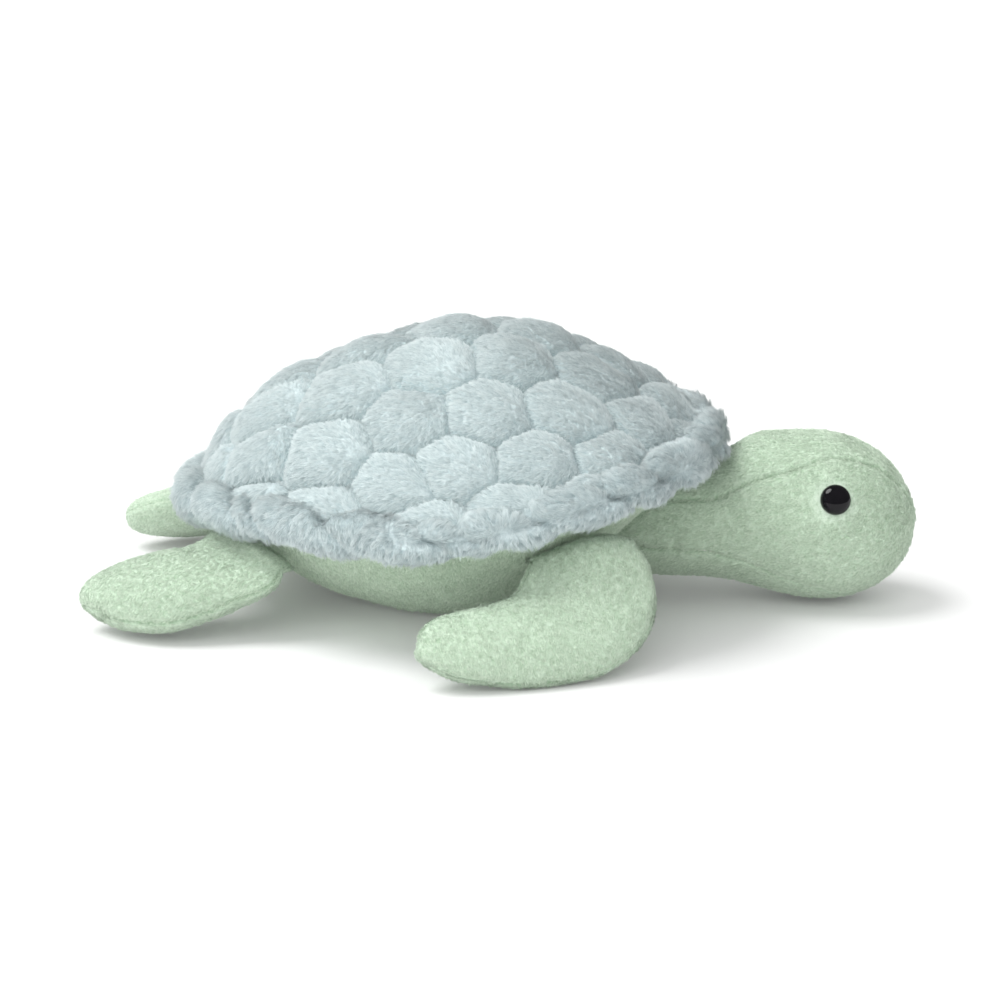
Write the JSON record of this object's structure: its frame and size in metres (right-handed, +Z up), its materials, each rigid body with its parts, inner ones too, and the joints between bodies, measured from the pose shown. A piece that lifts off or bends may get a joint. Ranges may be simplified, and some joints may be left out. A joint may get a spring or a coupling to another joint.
{
  "type": "plush turtle",
  "caption": "Stuffed sea turtle toy with a quilted long-pile shell, a stuffed rim roll, short-pile body, nodding head and flapping flippers.",
  "frame": {"origin": "on the floor under the belly's flat, on the toy's middle plane", "axes": "+X towards the nose, +Y towards the toy's left, +Z up"},
  "size_m": [0.3791, 0.2978, 0.1293],
  "materials": {
    "shell_plush": "long-pile plush",
    "mint_plush": "short-pile plush",
    "lining_cloth": "plain woven",
    "fibre_filling": "loose fibre",
    "eye_plastic": "polished",
    "washer_plastic": "moulded"
  },
  "bodies": {
    "torso": {"carapace_quilt": "shell_plush", "carapace_backing": "lining_cloth", "carapace_rim": "shell_plush", "belly_cover": "mint_plush", "body_stuffing": "fibre_filling"},
    "head": {"head_crown_gusset": "mint_plush", "head_side_left": "mint_plush", "head_side_right": "mint_plush", "head_chin_gusset": "mint_plush", "head_stuffing": "fibre_filling", "eye_left": "eye_plastic", "eye_right": "eye_plastic", "eye_washer_left": "washer_plastic", "eye_washer_right": "washer_plastic"},
    "front_left_flipper": {"front_left_flipper_top": "mint_plush", "front_left_flipper_bottom": "mint_plush", "front_left_flipper_stuffing": "fibre_filling"},
    "front_right_flipper": {"front_right_flipper_top": "mint_plush", "front_right_flipper_bottom": "mint_plush", "front_right_flipper_stuffing": "fibre_filling"},
    "rear_left_flipper": {"rear_left_flipper_top": "mint_plush", "rear_left_flipper_bottom": "mint_plush", "rear_left_flipper_stuffing": "fibre_filling"},
    "rear_right_flipper": {"rear_right_flipper_top": "mint_plush", "rear_right_flipper_bottom": "mint_plush", "rear_right_flipper_stuffing": "fibre_filling"}
  },
  "joints": [
    {"name": "head_nod", "type": "hinge", "parent": "torso", "child": "head", "pos_m": [0.0637, 0, 0.0393], "axis": [0, -1, 0], "range_deg": [-18, 5], "stiffness_Nm_per_rad": 2},
    {"name": "front_left_flap", "type": "hinge", "parent": "torso", "child": "front_left_flipper", "pos_m": [0.02588, 0.09592, 0.04444], "axis": [0.9432, -0.3322, 0], "range_deg": [-12, 35], "stiffness_Nm_per_rad": 0.4},
    {"name": "front_right_flap", "type": "hinge", "parent": "torso", "child": "front_right_flipper", "pos_m": [0.02588, -0.09592, 0.04444], "axis": [-0.9432, -0.3322, 0], "range_deg": [-12, 35], "stiffness_Nm_per_rad": 0.4},
    {"name": "rear_left_flap", "type": "hinge", "parent": "torso", "child": "rear_left_flipper", "pos_m": [-0.1089, 0.0574, 0.03461], "axis": [0.6809, 0.7226, -0.1191], "range_deg": [-30, 30], "stiffness_Nm_per_rad": 0.4},
    {"name": "rear_right_flap", "type": "hinge", "parent": "torso", "child": "rear_right_flipper", "pos_m": [-0.1089, -0.0574, 0.03461], "axis": [-0.6809, 0.7226, 0.1191], "range_deg": [-30, 30], "stiffness_Nm_per_rad": 0.4}
  ]
}
